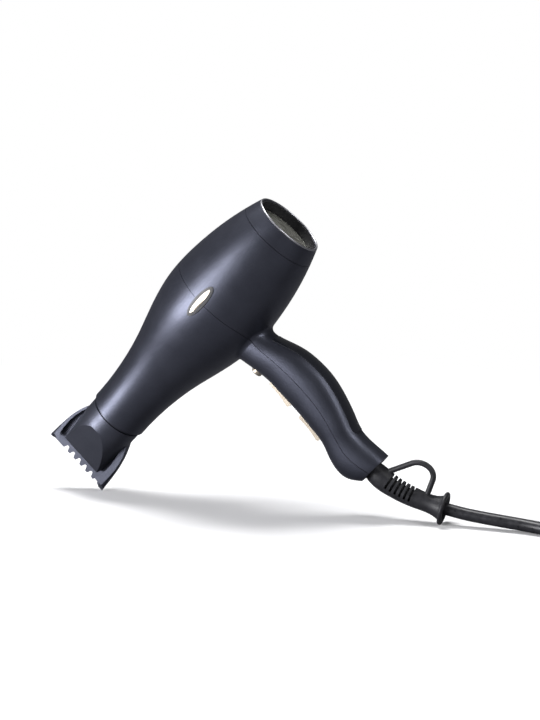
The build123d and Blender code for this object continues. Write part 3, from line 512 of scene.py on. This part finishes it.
def woven_filter():
    """The intake's filter: fine wires, each passing over and under the ones it crosses."""
    centre, radius = disc_of("filter_mesh")
    vertices, faces = [], []
    rows = int(radius / WEAVE_PITCH)
    for run, lay, turn in ((BARREL_UP, ACROSS, 1), (ACROSS, BARREL_UP, -1)):
        for i in range(-rows, rows + 1):
            reach = int((radius ** 2 - (i * WEAVE_PITCH) ** 2) ** 0.5 / WEAVE_PITCH)
            if reach < 1:
                continue
            points = []
            for j in range(-reach, reach + 1):
                lift = turn * (1 if (i + j) % 2 else -1) * WEAVE_LIFT
                flat = centre + lay * i * WEAVE_PITCH + run * j * WEAVE_PITCH
                points.append(flat + BARREL_AXIS * lift)
            add_wire(vertices, faces, points, WEAVE_WIRE, WEAVE_SIDES)
    piece = mesh_object("woven_filter", vertices, faces)
    dress(piece, "mesh_steel")
    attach(piece, "filter_cap")
    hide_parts("filter_mesh")


def heater_windings():
    """The resistance wire: fine open coils bent round the mica boards."""
    low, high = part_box("heating_coils")
    middle = (low + high) / 2
    vertices, faces = [], []
    for i in range(WINDING_RINGS):
        centre = middle + BARREL_AXIS * WINDING_SPACING * (i - (WINDING_RINGS - 1) / 2)
        points = []
        steps = WINDING_LOOPS * WINDING_STEPS
        for k in range(steps):
            round_ring = 2 * pi * k / steps
            round_wire = round_ring * WINDING_LOOPS
            outwards = ACROSS * cos(round_ring) + BARREL_UP * sin(round_ring)
            reach = WINDING_RING_RADIUS + WINDING_COIL_RADIUS * cos(round_wire)
            along = WINDING_COIL_RADIUS * sin(round_wire)
            points.append(centre + outwards * reach + BARREL_AXIS * along)
        add_wire(vertices, faces, points, WINDING_WIRE, WINDING_SIDES, closed=True)
    piece = mesh_object("heater_windings", vertices, faces)
    dress(piece, "heater_wire")
    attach(piece, "dryer")
    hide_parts("heating_coils")


# ---------------------------------------------------------------- stage, light and camera


def camera_axes():
    """The directions from the object to the camera, to the picture's right and upwards."""
    flat = cos(CAMERA_ELEVATION)
    back = Vector((sin(CAMERA_AZIMUTH) * flat, -cos(CAMERA_AZIMUTH) * flat, sin(CAMERA_ELEVATION)))
    right = Vector((cos(CAMERA_AZIMUTH), sin(CAMERA_AZIMUTH), 0))
    return back, right, back.cross(right)


def add_camera():
    back = camera_axes()[0]
    data = bpy.data.cameras.new("camera")
    data.lens = CAMERA_LENS
    camera = bpy.data.objects.new("camera", data)
    camera.location = CAMERA_AIM + back * CAMERA_DISTANCE
    camera.rotation_euler = (-back).to_track_quat("-Z", "Y").to_euler()
    bpy.context.scene.collection.objects.link(camera)
    bpy.context.scene.camera = camera


def add_floor():
    """A plain pale floor that turns into the white background away from the object."""
    bm = bmesh.new()
    bmesh.ops.create_circle(bm, cap_ends=True, segments=96, radius=FLOOR_RADIUS)
    data = bpy.data.meshes.new("floor")
    bm.to_mesh(data)
    bm.free()
    floor = bpy.data.objects.new("floor", data)
    floor.location.z = cad_box[0].z - FLOOR_GAP
    bpy.context.scene.collection.objects.link(floor)

    finish = Finish("floor", Roughness=0.9, Specular_IOR_Level=0.1)
    finish.shader.inputs["Base Color"].default_value = (0.86, 0.86, 0.87, 1.0)
    finish.relief((finish.noise(40.0), 0.0002))
    distance = finish.node("ShaderNodeVectorMath", {0: finish.place}, operation="LENGTH")
    fade_inputs = {"Value": distance.outputs["Value"], "From Min": FADE_START, "From Max": FADE_END}
    fade = finish.node("ShaderNodeMapRange", fade_inputs)
    fade.interpolation_type = "SMOOTHSTEP"
    glow = finish.node("ShaderNodeEmission", {"Color": (1, 1, 1, 1), "Strength": 1.0})
    lift = finish.node("ShaderNodeEmission", {"Color": (1, 1, 1, 1), "Strength": FLOOR_LIFT})
    lifted = finish.node("ShaderNodeAddShader", {0: finish.shader.outputs[0], 1: lift.outputs[0]})
    blend_inputs = {0: fade.outputs[0], 1: lifted.outputs[0], 2: glow.outputs[0]}
    blend = finish.node("ShaderNodeMixShader", blend_inputs)
    # the floor looks white but throws little light up at the dryer
    dim = finish.node("ShaderNodeBsdfDiffuse", {"Color": (0.16, 0.16, 0.17, 1.0)})
    path = finish.node("ShaderNodeLightPath").outputs["Is Camera Ray"]
    seen = finish.node("ShaderNodeMixShader", {0: path, 1: dim.outputs[0], 2: blend.outputs[0]})
    output = finish.tree.nodes["Material Output"]
    finish.tree.links.new(seen.outputs[0], output.inputs["Surface"])
    data.materials.append(finish.material)


def add_background():
    """White to the eye, with a dimmer light of its own."""
    world = bpy.data.worlds.new("studio")
    world.use_nodes = True
    tree = world.node_tree
    background = tree.nodes["Background"]
    background.inputs["Color"].default_value = (0.93, 0.95, 1.0, 1.0)
    background.inputs["Strength"].default_value = AMBIENT_LIGHT
    white = tree.nodes.new("ShaderNodeBackground")
    white.inputs["Color"].default_value = (1, 1, 1, 1)
    path = tree.nodes.new("ShaderNodeLightPath")
    mix = tree.nodes.new("ShaderNodeMixShader")
    tree.links.new(path.outputs["Is Camera Ray"], mix.inputs[0])
    tree.links.new(background.outputs[0], mix.inputs[1])
    tree.links.new(white.outputs[0], mix.inputs[2])
    tree.links.new(mix.outputs[0], tree.nodes["World Output"].inputs["Surface"])
    bpy.context.scene.world = world


def add_softbox(name, towards, distance, length, width, power, lengthwise, colour=(1, 1, 1)):
    """A soft rectangular light that faces the dryer, with its length along a given direction."""
    data = bpy.data.lights.new(name, "AREA")
    data.shape = "RECTANGLE"
    data.size = length
    data.size_y = width
    data.energy = power
    data.color = colour
    facing = towards.normalized()
    along = (lengthwise - facing * lengthwise.dot(facing)).normalized()
    turned = Matrix((along, facing.cross(along), facing)).transposed().to_4x4()
    light = bpy.data.objects.new(name, data)
    light.matrix_world = Matrix.Translation(CAMERA_AIM + facing * distance) @ turned
    bpy.context.scene.collection.objects.link(light)
    light.visible_camera = False


def beside(axis, angle, lean):
    """The direction to the camera, turned to the left about an axis and leant along it."""
    back = camera_axes()[0]
    facing = (back - axis * back.dot(axis)).normalized()
    left = facing.cross(axis)
    around = facing * cos(radians(angle)) + left * sin(radians(angle))
    return around * cos(radians(lean)) + axis * sin(radians(lean))


def add_lights():
    """A long strip beside the barrel, a low strip on the left, a box above, a dim strip right."""
    back, right, up = camera_axes()
    barrel_side = beside(BARREL_AXIS, 45, -30)
    low_left = Vector((-0.62, -0.78, 0.04))
    overhead = -0.06 * back - 0.1 * right + 1.0 * up
    right_side = Vector((0.82, -0.34, 0.46))
    cool, cooler = (0.98, 0.98, 1.0), (0.96, 0.96, 1.0)
    add_softbox("key", barrel_side, 1.5, 2.1, 0.42, power=40.0, lengthwise=BARREL_AXIS, colour=cool)
    add_softbox("low_strip", low_left, 1.5, 1.1, 0.3, power=17.0, lengthwise=right, colour=cooler)
    add_softbox("overhead", overhead, 1.6, 0.9, 0.45, power=30.0, lengthwise=right)
    add_softbox("right_strip", right_side, 1.6, 1.3, 0.3, power=11.0, lengthwise=up)


# ---------------------------------------------------------------- assembly

add_camera()
mains_cord()
for subpart in frame["record"]["subparts"]:
    dress(NODES[subpart["node"]], subpart["material_slot"])
woven_filter()
heater_windings()
add_floor()
add_background()
add_lights()
bpy.context.scene.view_settings.view_transform = "Standard"

bpy.context.view_layer.update()
